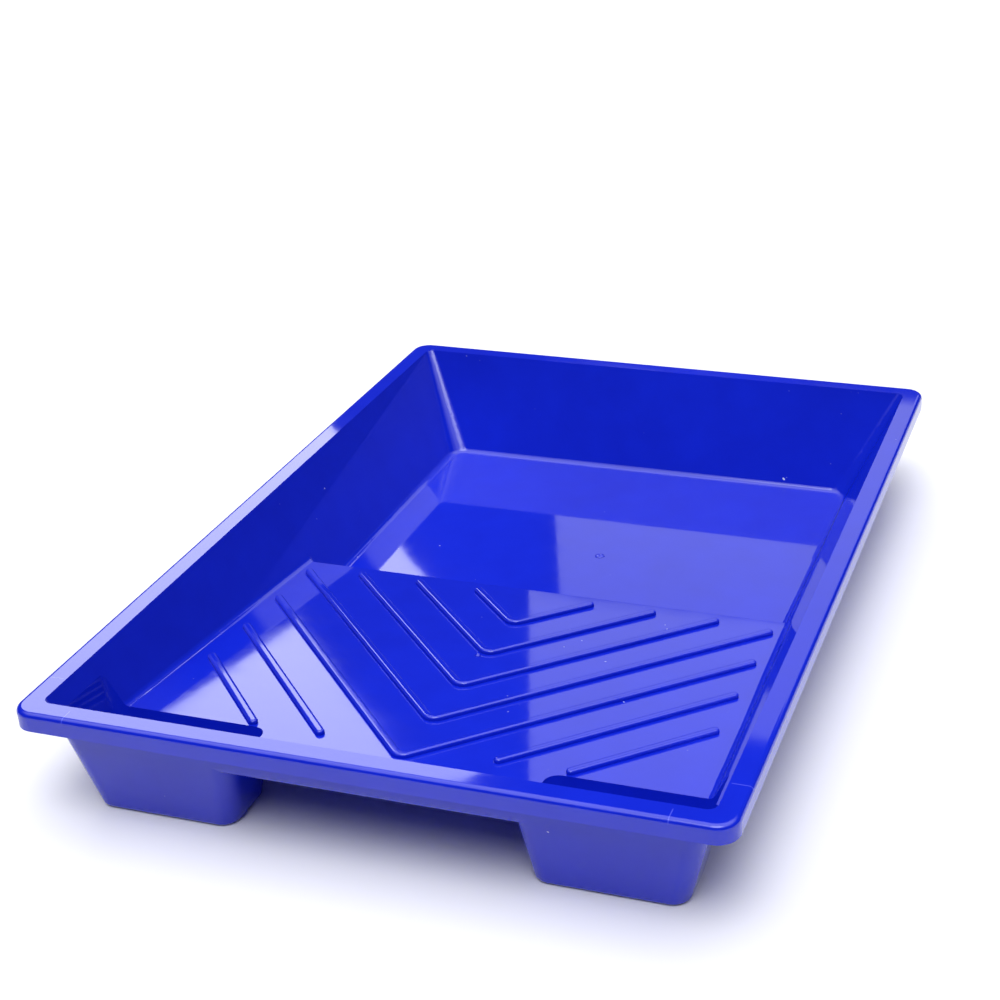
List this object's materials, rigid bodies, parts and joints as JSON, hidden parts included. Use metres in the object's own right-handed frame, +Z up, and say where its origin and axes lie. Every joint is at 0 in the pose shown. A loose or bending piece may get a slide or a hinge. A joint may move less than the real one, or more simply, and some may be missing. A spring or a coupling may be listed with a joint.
{
  "type": "paint roller tray",
  "caption": "Shallow rectangular plastic tray with a ribbed ramp sloping to a deep paint well, a flat rim with a turned-down skirt, and hollow front feet.",
  "frame": {"origin": "middle of the footprint, on the ground", "axes": "+X to the right along the front edge, +Y towards the deep end, +Z up"},
  "size_m": [0.29, 0.4, 0.05],
  "materials": {
    "blue_plastic": "glossy injection-moulded polypropylene, faint flow marks and light scuffs"
  },
  "bodies": {
    "root": {"rim_front": "blue_plastic", "rim_back": "blue_plastic", "rim_left": "blue_plastic", "rim_right": "blue_plastic", "front_wall": "blue_plastic", "back_wall": "blue_plastic", "left_ramp_side": "blue_plastic", "left_well_side": "blue_plastic", "right_ramp_side": "blue_plastic", "right_well_side": "blue_plastic", "ramp_panel": "blue_plastic", "ramp_step": "blue_plastic", "well_floor": "blue_plastic", "left_foot": "blue_plastic", "right_foot": "blue_plastic", "chevron_rib_1": "blue_plastic", "chevron_rib_2": "blue_plastic", "chevron_rib_3": "blue_plastic", "chevron_rib_4": "blue_plastic", "chevron_rib_5": "blue_plastic", "left_rib_1": "blue_plastic", "left_rib_2": "blue_plastic", "right_rib_1": "blue_plastic", "right_rib_2": "blue_plastic"}
  },
  "joints": []
}
